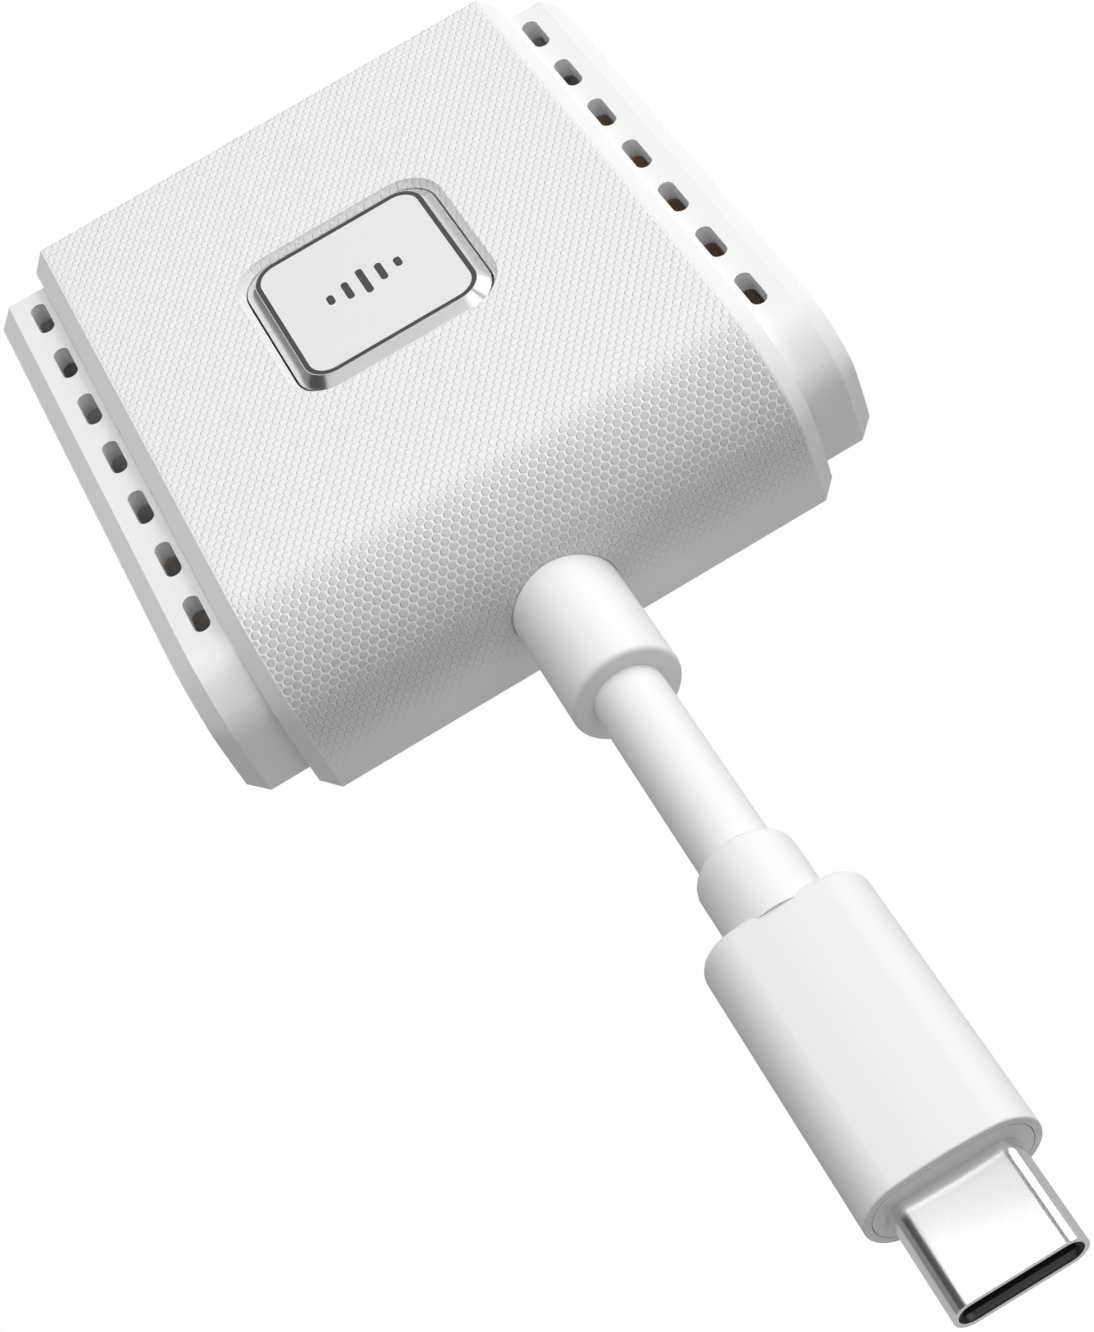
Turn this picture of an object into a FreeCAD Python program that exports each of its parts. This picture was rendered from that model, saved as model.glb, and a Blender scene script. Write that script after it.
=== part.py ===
import FreeCAD, Part
import Sketcher
import math
import os
from types import SimpleNamespace
from FreeCAD import Vector

# A small white wireless audio transmitter: a textured sleeve closed by two vented end caps, a square
# push button in the top, and a short lead with a USB-C plug. All sizes are in millimetres.
# Origin: middle of the base. +X is the right end cap, -Y is the lead, +Z is up.

os.makedirs("parts", exist_ok=True)
doc = FreeCAD.newDocument("transmitter")
sheet = doc.addObject("Spreadsheet::Sheet", "Sizes")

SIZES = {
    # case: side profile and its steps
    "sleeveWide": 40.0,
    "capProud": 4.25,
    "bodyDeep": 50.0,
    "bodyTall": 14.0,
    "noseArc": 9.0,
    "noseTurn": 50.0,
    "lipArc": 5.0,
    "bowArc": 39.0,
    "rearEdge": 0.45,
    "sleeveWall": 1.7,
    "sleeveBevel": 1.13,
    "bevelDrop": 0.9,
    "capBevel": 1.2,
    "capDrop": 0.87,
    "capWall": 1.6,
    "capInsert": 2.8,
    "slipFit": 0.05,
    # vents
    "ventWide": 1.2,
    "ventLong": 3.5,
    "ventPitch": 5.89,
    "ventPlace": 1.2,
    "ventRear": 5.22,
    "ventCount": 7,
    # button
    "buttonPlace": 2.8,
    "frameWide": 15.2,
    "frameDeep": 15.0,
    "frameCorner": 2.6,
    "frameBevel": 0.8,
    "frameDrop": 0.65,
    "frameTall": 1.4,
    "ringWide": 13.5,
    "ringDeep": 13.4,
    "ringCorner": 1.9,
    "ringLine": 0.37,
    "ringSunk": 0.02,
    "plateThick": 0.8,
    "buttonProud": 0.1,
    "buttonGap": 0.15,
    "recessWide": 16.5,
    "recessLong": 16.0,
    "recessDrop": 0.6,
    "flangeLap": 0.9,
    "flangeThick": 1.0,
    "flangeGap": 0.1,
    "glyphBar": 0.55,
    "glyphPitch": 1.35,
    "glyphShort": 1.05,
    "glyphMiddle": 1.95,
    "glyphTall": 2.85,
    "glyphDeep": 0.3,
    # switch below the button
    "switchWide": 6.0,
    "coverThick": 0.3,
    "stemRadius": 1.6,
    "stemGap": 0.2,
    "stemSunk": 0.7,
    "stemShow": 1.6,
    "pressRoom": 0.6,
    # tray, board and screws
    "trayThick": 1.0,
    "traySide": 0.5,
    "trayFront": 5.1,
    "trayRear": 0.7,
    "bossRadius": 1.7,
    "bossTall": 2.05,
    "bossPilot": 1.0,
    "boardThick": 1.0,
    "boardSide": 0.5,
    "boardFront": 10.4,
    "boardRear": 0.9,
    "boardCorner": 1.5,
    "bossInset": 2.7,
    "bossFront": 2.0,
    "screwHole": 1.15,
    "screwShank": 0.95,
    "screwHead": 1.5,
    "screwTall": 0.8,
    "screwLong": 2.6,
    "driveWide": 0.35,
    "driveDeep": 0.4,
    # parts on the board
    "shieldWide": 14.0,
    "shieldDeep": 8.0,
    "shieldTall": 1.8,
    "shieldWall": 0.3,
    "shieldSetback": 0.75,
    "radioWide": 5.5,
    "radioTall": 0.9,
    "crystalWide": 2.5,
    "crystalDeep": 2.0,
    "crystalTall": 0.7,
    "processorWide": 6.6,
    "processorTall": 1.0,
    "processorSide": 2.2,
    "chipRear": 10.0,
    "flashWide": 4.0,
    "flashDeep": 5.0,
    "flashTall": 0.8,
    "flashSide": 3.7,
    "padThick": 0.8,
    "spreaderThick": 0.8,
    "spreaderDeep": 9.0,
    "spreaderSide": 6.2,
    "spreaderLeg": 0.8,
    "capacitorRadius": 2.0,
    "capacitorTall": 4.8,
    "capacitorEdge": 3.7,
    "inductorWide": 4.0,
    "inductorTall": 2.4,
    "inductorPlace": 6.5,
    "antennaDeep": 30.0,
    "antennaTall": 5.0,
    "antennaThick": 0.3,
    # lead
    "cableRadius": 2.48,
    "jacketThick": 0.95,
    "braidThick": 0.3,
    "wireRadius": 0.4,
    "reliefWall": 1.39,
    "reliefProud": 9.54,
    "reliefSunk": 0.32,
    "reliefSeat": 3.5,
    "reliefEdge": 0.4,
    "collarLap": 0.6,
    "collarThick": 1.1,
    "collarGap": 0.15,
    "clampWide": 14.4,
    "clampDeep": 2.6,
    "clampFront": 6.8,
    "clampWall": 0.42,
    "clampScrewPlace": 5.0,
    "clampShank": 0.7,
    "clampHead": 1.2,
    "clampScrewLong": 5.0,
    "jacketInside": 7.8,
    "freeCable": 15.67,
    # plug
    "bootWall": 0.84,
    "bootLong": 5.45,
    "bootLap": 0.7,
    "bootEdge": 1.0,
    "spigotWall": 0.25,
    "spigotLong": 2.5,
    "jacketInBoot": 6.5,
    "plugWide": 11.1,
    "gripWall": 0.62,
    "plugCorner": 2.8,
    "plugCrown": 22.0,
    "plugBulge": 9.0,
    "plugLong": 19.56,
    "plugShoulder": 0.75,
    "plugLip": 0.12,
    "plugWall": 1.1,
    "faceInset": 0.5,
    "faceSunk": 1.2,
    "faceGap": 0.05,
    "shellWide": 8.25,
    "shellThick": 2.4,
    "shellWall": 0.3,
    "shellProud": 6.97,
    "shellSeat": 6.4,
    "tongueDeep": 5.2,
    "tongueWide": 6.9,
    "tongueGap": 0.9,
    "pinWide": 0.25,
    "pinThick": 0.12,
    "pinPitch": 0.5,
    "pinCount": 12,
    "pinLong": 3.8,
    "latchThick": 0.2,
    "latchWide": 0.7,
    "latchLong": 4.0,
    "plugBoardLong": 7.6,
    "plugBoardWide": 7.0,
    "plugBoardThick": 0.6,
    "plugChipWide": 3.0,
    "plugChipTall": 0.7,
}

for row, (alias, number) in enumerate(SIZES.items(), 1):
    sheet.set(f"A{row}", alias)
    sheet.set(f"B{row}", str(number))
    sheet.setAlias(f"B{row}", alias)
doc.recompute()


class Size:
    """A length that knows both its number and the sheet expression that gives it."""

    def __init__(self, number, text):
        self.number = number
        self.text = text

    def __add__(self, other):
        other = as_size(other)
        return Size(self.number + other.number, f"({self.text} + {other.text})")

    def __sub__(self, other):
        other = as_size(other)
        return Size(self.number - other.number, f"({self.text} - {other.text})")

    def __mul__(self, other):
        other = as_size(other)
        return Size(self.number * other.number, f"({self.text} * {other.text})")

    def __truediv__(self, other):
        other = as_size(other)
        return Size(self.number / other.number, f"({self.text} / {other.text})")

    def __neg__(self):
        return Size(-self.number, f"(0 - {self.text})")

    __radd__ = __add__

    __rmul__ = __mul__


def as_size(value):
    if isinstance(value, Size):
        return value
    return Size(value, str(value))


def size(alias):
    """A cell of the sheet, by its alias."""
    return Size(float(sheet.get(alias)), f"Sizes.{alias}")


def sine(angle):
    return Size(math.sin(math.radians(angle.number)), f"sin({angle.text} * 1 deg)")


def cosine(angle):
    return Size(math.cos(math.radians(angle.number)), f"cos({angle.text} * 1 deg)")


def bind(item, name, value):
    item.setExpression(name, as_size(value).text)


s = SimpleNamespace(**{alias: size(alias) for alias in SIZES})
PIECES = []


# ---- helpers for bodies, sketches and features

def new_body(label):
    body = doc.addObject("PartDesign::Body", label)
    body.Label = label
    body.AllowCompound = True
    PIECES.append(body)
    return body


def new_sketch(body, name, role, offset):
    """A sketch on one of the body's own origin planes, moved along that plane's normal by the offset."""
    sketch = body.newObject("Sketcher::SketchObject", f"{body.Label}_{name}")
    for plane in body.Origin.OriginFeatures:
        if plane.Role == role:
            sketch.AttachmentSupport = [(plane, "")]
    sketch.MapMode = "FlatFace"
    bind(sketch, "AttachmentOffset.Base.z", offset)
    return sketch


def flat_sketch(body, name, z):
    return new_sketch(body, name, "XY_Plane", z)


def side_sketch(body, name, x):
    return new_sketch(body, name, "YZ_Plane", x)


def front_sketch(body, name, y):
    """The front plane's normal points to -Y, so pads on it grow towards the plug."""
    return new_sketch(body, name, "XZ_Plane", -as_size(y))


def join(sketch, kind, first, first_point, second, second_point):
    sketch.addConstraint(Sketcher.Constraint(kind, first, first_point, second, second_point))


def dimension(sketch, kind, where, value):
    """One driving dimension, named after its kind and bound to the sheet."""
    value = as_size(value)
    index = sketch.addConstraint(Sketcher.Constraint(kind, *where, value.number))
    name = f"{kind}_{index}"
    sketch.renameConstraint(index, name)
    bind(sketch, f"Constraints.{name}", value)


def arc(x, y, radius, start, end):
    circle = Part.Circle(Vector(x, y, 0), Vector(0, 0, 1), radius)
    return Part.ArcOfCircle(circle, math.radians(start), math.radians(end))


def line(start, end):
    return Part.LineSegment(Vector(*start, 0), Vector(*end, 0))


def draw_circle(sketch, x, y, radius):
    x, y, radius = as_size(x), as_size(y), as_size(radius)
    circle = Part.Circle(Vector(x.number, y.number, 0), Vector(0, 0, 1), radius.number)
    index = sketch.addGeometry(circle)
    dimension(sketch, "DistanceX", (-1, 1, index, 3), x)
    dimension(sketch, "DistanceY", (-1, 1, index, 3), y)
    dimension(sketch, "Radius", (index,), radius)


def draw_rectangle(sketch, x, y, wide, tall, corner=None):
    """A rectangle about a centre, with round corners if a corner radius is given."""
    x, y = as_size(x), as_size(y)
    left, right = x - wide / 2, x + wide / 2
    low, high = y - tall / 2, y + tall / 2
    r = corner.number if corner else 0.0
    x0, x1, y0, y1 = left.number, right.number, low.number, high.number
    sides = [
        line((x0 + r, y0), (x1 - r, y0)),
        line((x1, y0 + r), (x1, y1 - r)),
        line((x1 - r, y1), (x0 + r, y1)),
        line((x0, y1 - r), (x0, y0 + r)),
    ]
    first = sketch.addGeometry(sides[0])
    for side in sides[1:]:
        sketch.addGeometry(side)
    for index, kind in enumerate(("Horizontal", "Vertical", "Horizontal", "Vertical")):
        sketch.addConstraint(Sketcher.Constraint(kind, first + index))
    if corner:
        places = ((x1 - r, y0 + r), (x1 - r, y1 - r), (x0 + r, y1 - r), (x0 + r, y0 + r))
        for index, (cx, cy) in enumerate(places):
            bend = sketch.addGeometry(arc(cx, cy, r, 90 * index - 90, 90 * index))
            join(sketch, "Tangent", first + index, 2, bend, 1)
            join(sketch, "Tangent", bend, 2, first + (index + 1) % 4, 1)
            if index:
                sketch.addConstraint(Sketcher.Constraint("Equal", first + 4, bend))
        dimension(sketch, "Radius", (first + 4,), corner)
    else:
        for index in range(4):
            join(sketch, "Coincident", first + index, 2, first + (index + 1) % 4, 1)
    dimension(sketch, "DistanceY", (-1, 1, first, 1), low)
    dimension(sketch, "DistanceX", (-1, 1, first + 1, 1), right)
    dimension(sketch, "DistanceY", (-1, 1, first + 2, 1), high)
    dimension(sketch, "DistanceX", (-1, 1, first + 3, 1), left)


def draw_slot(sketch, x, y, wide, tall, upright):
    """A slot with full-round ends, running along the sketch's Y if upright, else along its X."""
    x, y = as_size(x), as_size(y)
    radius = (wide if upright else tall) / 2
    run = (tall - wide) / 2 if upright else (wide - tall) / 2
    r, k, cx, cy = radius.number, run.number, x.number, y.number
    if upright:
        near = sketch.addGeometry(arc(cx, cy - k, r, 180, 360))
        up = sketch.addGeometry(line((cx + r, cy - k), (cx + r, cy + k)))
        far = sketch.addGeometry(arc(cx, cy + k, r, 0, 180))
        down = sketch.addGeometry(line((cx - r, cy + k), (cx - r, cy - k)))
        sketch.addConstraint(Sketcher.Constraint("Vertical", up))
    else:
        near = sketch.addGeometry(arc(cx + k, cy, r, -90, 90))
        up = sketch.addGeometry(line((cx + k, cy + r), (cx - k, cy + r)))
        far = sketch.addGeometry(arc(cx - k, cy, r, 90, 270))
        down = sketch.addGeometry(line((cx - k, cy - r), (cx + k, cy - r)))
        sketch.addConstraint(Sketcher.Constraint("Horizontal", up))
    join(sketch, "Tangent", near, 2, up, 1)
    join(sketch, "Tangent", up, 2, far, 1)
    join(sketch, "Tangent", far, 2, down, 1)
    join(sketch, "Tangent", down, 2, near, 1)
    dimension(sketch, "Radius", (near,), radius)
    if upright:
        dimension(sketch, "DistanceX", (-1, 1, near, 3), x)
        dimension(sketch, "DistanceY", (-1, 1, near, 3), y - run)
        dimension(sketch, "DistanceY", (-1, 1, far, 3), y + run)
    else:
        dimension(sketch, "DistanceY", (-1, 1, near, 3), y)
        dimension(sketch, "DistanceX", (-1, 1, near, 3), x + run)
        dimension(sketch, "DistanceX", (-1, 1, far, 3), x - run)


def draw_profile(sketch, inset, edge):
    """The case's side profile, moved in by the inset: flat base, flat top, three-arc nose at the front."""
    inset, edge = as_size(inset), as_size(edge)
    nose, lip, bow = s.noseArc - inset, s.lipArc - inset, s.bowArc - inset
    low, high, rear = inset, s.bodyTall - inset, s.bodyDeep / 2 - inset
    r, k, turn = edge.number, inset.number, s.noseTurn.number
    nose_x, nose_z = noseCentre.number, s.bodyTall.number - s.noseArc.number
    lip_x, lip_z = lipCentre.number, lipHigh.number
    bow_x = lip_x + s.bowArc.number - s.lipArc.number
    drop = math.degrees(math.asin((lip_z - k) / bow.number))
    front_x = bow_x - math.sqrt(bow.number ** 2 - (lip_z - k) ** 2)
    y1, z0, z1 = rear.number, low.number, high.number
    join_x = nose_x - nose.number * math.sin(math.radians(turn))
    join_z = nose_z + nose.number * math.cos(math.radians(turn))
    for shape in (
        line((front_x, z0), (y1 - r, z0)),
        arc(y1 - r, z0 + r, r, -90, 0),
        line((y1, z0 + r), (y1, z1 - r)),
        arc(y1 - r, z1 - r, r, 0, 90),
        line((y1 - r, z1), (nose_x, z1)),
        arc(nose_x, nose_z, nose.number, 90, 90 + turn),
        arc(lip_x, lip_z, lip.number, 90 + turn, 180),
        arc(bow_x, lip_z, bow.number, 180, 180 + drop),
    ):
        sketch.addGeometry(shape)
    for index in range(7):
        join(sketch, "Tangent", index, 2, index + 1, 1)
    join(sketch, "Coincident", 7, 2, 0, 1)
    sketch.addConstraint(Sketcher.Constraint("Horizontal", 0))
    sketch.addConstraint(Sketcher.Constraint("Vertical", 2))
    sketch.addConstraint(Sketcher.Constraint("Horizontal", 4))
    sketch.addConstraint(Sketcher.Constraint("Equal", 1, 3))
    sketch.addConstraint(Sketcher.Constraint("Horizontal", 6, 3, 7, 3))
    dimension(sketch, "Radius", (1,), edge)
    dimension(sketch, "Radius", (5,), nose)
    dimension(sketch, "Radius", (6,), lip)
    dimension(sketch, "Radius", (7,), bow)
    dimension(sketch, "DistanceY", (-1, 1, 0, 1), low)
    dimension(sketch, "DistanceX", (-1, 1, 2, 1), rear)
    dimension(sketch, "DistanceY", (-1, 1, 4, 1), high)
    dimension(sketch, "DistanceX", (-1, 1, 5, 3), noseCentre)
    dimension(sketch, "DistanceX", (-1, 1, 6, 3), lipCentre)


def draw_crowned(sketch, inset):
    """The plug grip's section moved in by the inset: crowned top and base, bulged sides, round corners."""
    crown, bulge, corner = s.plugCrown - inset, s.plugBulge - inset, s.plugCorner - inset
    top, bottom = cableHigh + plugThick / 2 - s.plugCrown, cableHigh - plugThick / 2 + s.plugCrown
    right, middle = s.plugWide / 2 - s.plugBulge, cableHigh.number
    big, small, r = crown.number, bulge.number, corner.number
    rise, run = middle - top.number, right.number
    apart = math.hypot(rise, run)
    near = (small - r + big - r) * (small - big) / (2 * apart) + apart / 2
    side = math.sqrt((small - r) ** 2 - near ** 2)
    along_x, along_z = -run / apart, -rise / apart
    corner_x = run + near * along_x - side * along_z
    corner_z = near * along_z + side * along_x
    if corner_z < 0:
        corner_x = run + near * along_x + side * along_z
        corner_z = near * along_z - side * along_x
    lean = math.degrees(math.atan2(corner_z + rise, corner_x))
    tilt = math.degrees(math.atan2(corner_z, corner_x - run))
    for shape in (
        arc(run, middle, small, -tilt, tilt),
        arc(corner_x, middle + corner_z, r, tilt, lean),
        arc(0, top.number, big, lean, 180 - lean),
        arc(-corner_x, middle + corner_z, r, 180 - lean, 180 - tilt),
        arc(-run, middle, small, 180 - tilt, 180 + tilt),
        arc(-corner_x, middle - corner_z, r, 180 + tilt, 180 + lean),
        arc(0, bottom.number, big, 180 + lean, 360 - lean),
        arc(corner_x, middle - corner_z, r, -lean, -tilt),
    ):
        sketch.addGeometry(shape)
    for index in range(8):
        join(sketch, "Tangent", index, 2, (index + 1) % 8, 1)
    for first, second in ((0, 4), (2, 6), (1, 3), (1, 5), (1, 7)):
        sketch.addConstraint(Sketcher.Constraint("Equal", first, second))
    dimension(sketch, "Radius", (0,), bulge)
    dimension(sketch, "Radius", (1,), corner)
    dimension(sketch, "Radius", (2,), crown)
    for index, x, z in ((0, right, cableHigh), (2, 0, top), (4, -right, cableHigh), (6, 0, bottom)):
        dimension(sketch, "DistanceX", (-1, 1, index, 3), x)
        dimension(sketch, "DistanceY", (-1, 1, index, 3), z)


def extrude(body, kind, name, sketch, length):
    feature = body.newObject(f"PartDesign::{kind}", f"{body.Label}_{name}")
    feature.Profile = (sketch, [""])
    bind(feature, "Length", length)
    feature.Reversed = kind == "Pocket"
    body.Tip = feature
    return feature


def pad(body, name, sketch, length):
    """Grow along the sketch's normal."""
    return extrude(body, "Pad", name, sketch, length)


def pocket(body, name, sketch, length):
    """Cut along the sketch's normal."""
    return extrude(body, "Pocket", name, sketch, length)


def loft(body, kind, name, first, second):
    feature = body.newObject(f"PartDesign::{kind}", f"{body.Label}_{name}")
    feature.Profile = (first, [""])
    feature.Sections = [second]
    feature.Ruled = True
    body.Tip = feature
    return feature


def edges_where(feature, test):
    doc.recompute()
    names = []
    for number, edge in enumerate(feature.Shape.Edges, 1):
        if test(edge):
            names.append(f"Edge{number}")
    return names


def fillet(body, name, base, test, radius):
    names = edges_where(base, test)
    feature = body.newObject("PartDesign::Fillet", f"{body.Label}_{name}")
    feature.Base = (base, names)
    bind(feature, "Radius", radius)
    body.Tip = feature
    return feature


def level(edge, axis, place):
    """True for an edge that lies wholly in the plane where the axis equals the place."""
    box = edge.BoundBox
    low, high = getattr(box, f"{axis}Min"), getattr(box, f"{axis}Max")
    return abs(low - place.number) < 0.01 and abs(high - place.number) < 0.01


def pattern(body, name, feature, sketch, axis, pitch, count):
    """Repeat a feature along one of its sketch's axes."""
    row = body.newObject("PartDesign::LinearPattern", f"{body.Label}_{name}")
    row.Originals = [feature]
    row.Direction = (sketch, [axis])
    bind(row, "Length", pitch * (count - 1))
    bind(row, "Occurrences", count)
    body.Tip = row
    return row


def block(label, x, y, z, wide, deep, tall):
    """A plain block: centred on x and y, standing on z."""
    x, y = as_size(x), as_size(y)
    item = doc.addObject("Part::Box", label)
    item.Label = label
    for name, value in (("Length", wide), ("Width", deep), ("Height", tall)):
        bind(item, name, value)
    bind(item, "Placement.Base.x", x - wide / 2)
    bind(item, "Placement.Base.y", y - deep / 2)
    bind(item, "Placement.Base.z", z)
    return item


def post(label, x, y, z, radius, tall):
    """A round post standing on z."""
    item = doc.addObject("Part::Cylinder", label)
    item.Label = label
    bind(item, "Radius", radius)
    bind(item, "Height", tall)
    bind(item, "Placement.Base.x", x)
    bind(item, "Placement.Base.y", y)
    bind(item, "Placement.Base.z", z)
    return item


def rod(label, x, z, y, radius, length):
    """A round rod from y towards the plug."""
    item = post(label, x, y, z, radius, length)
    item.Placement.Rotation = FreeCAD.Rotation(Vector(1, 0, 0), 90)
    return item


def group(label, members):
    """Several equal solids kept as one piece."""
    item = doc.addObject("Part::Compound", label)
    item.Label = label
    item.Links = members
    PIECES.append(item)
    return item


def screw(label, x, y, seat, head, tall, shank, length):
    """A pan-head screw whose head sits on the seat, with a straight drive slot."""
    body = doc.addObject("Part::MultiFuse", f"{label}_blank")
    body.Shapes = [post(f"{label}_head", x, y, seat, head, tall),
                   post(f"{label}_shank", x, y, seat - length, shank, length)]
    slot = block(f"{label}_drive", x, y, seat + tall - s.driveDeep, head * 3, s.driveWide, s.driveDeep)
    item = doc.addObject("Part::Cut", label)
    item.Base = body
    item.Tool = slot
    return item


# ---- levels and places that several pieces share

front = -s.bodyDeep / 2
rear = s.bodyDeep / 2
lipCentre = front + s.lipArc
noseCentre = lipCentre + (s.noseArc - s.lipArc) * sine(s.noseTurn)
lipHigh = s.bodyTall - s.noseArc + (s.noseArc - s.lipArc) * cosine(s.noseTurn)
ceiling = s.bodyTall - s.sleeveWall
sleeveFlat = s.sleeveWide - s.sleeveBevel * 2
capInset = s.sleeveWall + s.slipFit
capHigh = s.bodyTall - capInset
capStart = s.sleeveWide / 2 - s.capInsert
capEnd = s.sleeveWide / 2 + s.capProud
trayHigh = capInset + s.trayThick
boardLow = trayHigh + s.bossTall
boardHigh = boardLow + s.boardThick
trayWide = (capStart - s.traySide) * 2
trayFront = front + s.trayFront
trayRear = rear - capInset - s.trayRear
boardWide = trayWide - s.boardSide * 2
boardFront = front + s.boardFront
boardRear = rear - capInset - s.boardRear
bossX = boardWide / 2 - s.bossInset
bossPlaces = [
    (-bossX, boardFront + s.bossFront),
    (bossX, boardFront + s.bossFront),
    (-bossX, boardRear - s.bossInset),
    (bossX, boardRear - s.bossInset),
]
plateHigh = s.bodyTall + s.buttonProud
frameLow = plateHigh - s.frameTall
plateLow = plateHigh - s.plateThick
flangeHigh = ceiling - s.flangeGap
flangeLow = flangeHigh - s.flangeThick
holeWide = s.frameWide + s.buttonGap * 2
holeDeep = s.frameDeep + s.buttonGap * 2
coverHigh = flangeLow - s.stemShow
switchHigh = coverHigh - s.coverThick
stemLow = switchHigh - s.stemSunk
clampPlace = front + s.clampFront
reliefRadius = s.cableRadius + s.reliefWall
collarRadius = reliefRadius + s.collarLap
cableHigh = s.sleeveWall - s.reliefSunk + reliefRadius
collarLow = capInset + s.collarGap
collarTall = cableHigh + collarRadius - collarLow
braidRadius = s.cableRadius - s.jacketThick
wireOffset = (braidRadius - s.braidThick - s.wireRadius) * 0.7071
clampTall = s.cableRadius + s.clampWall
bootRadius = s.cableRadius + s.bootWall
spigotRadius = s.cableRadius + s.spigotWall
plugThick = (s.cableRadius + s.gripWall) * 2
mouth = front - s.reliefProud - s.freeCable - s.bootLong - s.plugLong - s.shellProud
plugFront = mouth + s.shellProud
plugRear = plugFront + s.plugLong
bootRear = plugRear + s.bootLong
jacketStart = front + s.jacketInside
jacketEnd = bootRear - s.jacketInBoot


# ---- case

def make_sleeve():
    body = new_body("sleeve")
    start = side_sketch(body, "start", -sleeveFlat / 2)
    draw_profile(start, 0, s.rearEdge)
    pad(body, "main", start, sleeveFlat)
    for name, sign in (("left", -1), ("right", 1)):
        wide_end = side_sketch(body, f"{name}_flat", sleeveFlat / 2 * sign)
        draw_profile(wide_end, 0, s.rearEdge)
        bevel_end = side_sketch(body, f"{name}_end", s.sleeveWide / 2 * sign)
        draw_profile(bevel_end, s.bevelDrop, s.rearEdge)
        loft(body, "AdditiveLoft", f"{name}_bevel", wide_end, bevel_end)
    bore = side_sketch(body, "bore", -s.sleeveWide / 2)
    draw_profile(bore, s.sleeveWall, s.rearEdge)
    pocket(body, "hollow", bore, s.sleeveWide)
    hole = flat_sketch(body, "hole", ceiling - 1)
    draw_rectangle(hole, 0, s.buttonPlace, holeWide, holeDeep, s.frameCorner + s.buttonGap)
    pocket(body, "button_hole", hole, s.sleeveWall + 2)
    foot = flat_sketch(body, "recess_foot", s.bodyTall - s.recessDrop)
    draw_rectangle(foot, 0, s.buttonPlace, holeWide, holeDeep, s.frameCorner + s.buttonGap)
    brim = flat_sketch(body, "recess_brim", s.bodyTall)
    draw_rectangle(brim, 0, s.buttonPlace, s.recessWide, s.recessLong,
                   s.frameCorner + (s.recessWide - s.frameWide) / 2)
    loft(body, "SubtractiveLoft", "recess", foot, brim)
    gland = front_sketch(body, "gland", front + s.reliefSeat)
    draw_circle(gland, 0, cableHigh, reliefRadius + s.slipFit)
    pocket(body, "gland_hole", gland, s.reliefSeat + 1)


def make_end_cap(label, sign):
    """A cup pushed into the sleeve's end, with its open side inwards and a row of vents in its top."""
    body = new_body(label)
    flat = capEnd - s.capBevel
    low = capStart if sign > 0 else -flat
    length = flat - capStart
    start = side_sketch(body, "start", low)
    draw_profile(start, capInset, s.rearEdge)
    pad(body, "wall", start, length)
    wide_end = side_sketch(body, "flat", flat * sign)
    draw_profile(wide_end, capInset, s.rearEdge)
    bevel_end = side_sketch(body, "end", capEnd * sign)
    draw_profile(bevel_end, capInset + s.capDrop, s.rearEdge)
    loft(body, "AdditiveLoft", "bevel", wide_end, bevel_end)
    depth = capEnd - s.capWall - capStart
    bore = side_sketch(body, "bore", capStart if sign > 0 else -(capEnd - s.capWall))
    draw_profile(bore, capInset + s.capWall, s.rearEdge)
    pocket(body, "hollow", bore, depth)
    vent = flat_sketch(body, "vent", capHigh - s.capWall - 0.4)
    place = (s.sleeveWide / 2 + s.ventPlace) * sign
    draw_slot(vent, place, rear - s.ventRear, s.ventWide, s.ventLong, upright=True)
    slot = pocket(body, "first_vent", vent, s.capWall + 1)
    row = pattern(body, "vents", slot, vent, "V_Axis", s.ventPitch, s.ventCount)
    row.Reversed = True


# ---- tray, board and what stands on it

def make_tray():
    body = new_body("chassis_tray")
    floor = flat_sketch(body, "floor", capInset)
    deep = trayRear - trayFront
    draw_rectangle(floor, 0, (trayRear + trayFront) / 2, trayWide, deep, s.boardCorner)
    pad(body, "floor_pad", floor, s.trayThick)
    bosses = flat_sketch(body, "bosses", trayHigh)
    for x, y in bossPlaces:
        draw_circle(bosses, x, y, s.bossRadius)
    pad(body, "boss_pad", bosses, s.bossTall)
    saddle = flat_sketch(body, "saddle", trayHigh)
    draw_rectangle(saddle, 0, clampPlace, s.clampWide, s.clampDeep)
    pad(body, "saddle_pad", saddle, cableHigh - trayHigh)
    groove = front_sketch(body, "groove", clampPlace + s.clampDeep)
    draw_circle(groove, 0, cableHigh, s.cableRadius)
    pocket(body, "saddle_groove", groove, s.clampDeep * 2)
    pilots = flat_sketch(body, "pilots", trayHigh)
    for x, y in bossPlaces:
        draw_circle(pilots, x, y, s.bossPilot)
    pocket(body, "boss_pilots", pilots, s.bossTall)
    clamp_pilots = flat_sketch(body, "clamp_pilots", trayHigh)
    for sign in (-1, 1):
        draw_circle(clamp_pilots, s.clampScrewPlace * sign, clampPlace, s.clampShank + s.slipFit)
    pocket(body, "clamp_pilot_cut", clamp_pilots, cableHigh - trayHigh)


def make_board():
    body = new_body("main_board")
    outline = flat_sketch(body, "outline", boardLow)
    deep = boardRear - boardFront
    draw_rectangle(outline, 0, (boardRear + boardFront) / 2, boardWide, deep, s.boardCorner)
    pad(body, "sheet", outline, s.boardThick)
    holes = flat_sketch(body, "holes", boardLow)
    for x, y in bossPlaces:
        draw_circle(holes, x, y, s.screwHole)
    pocket(body, "screw_holes", holes, s.boardThick)
    group("board_screws", [
        screw(f"board_screw_{number}", x, y, boardHigh, s.screwHead, s.screwTall, s.screwShank, s.screwLong)
        for number, (x, y) in enumerate(bossPlaces, 1)
    ])


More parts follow.
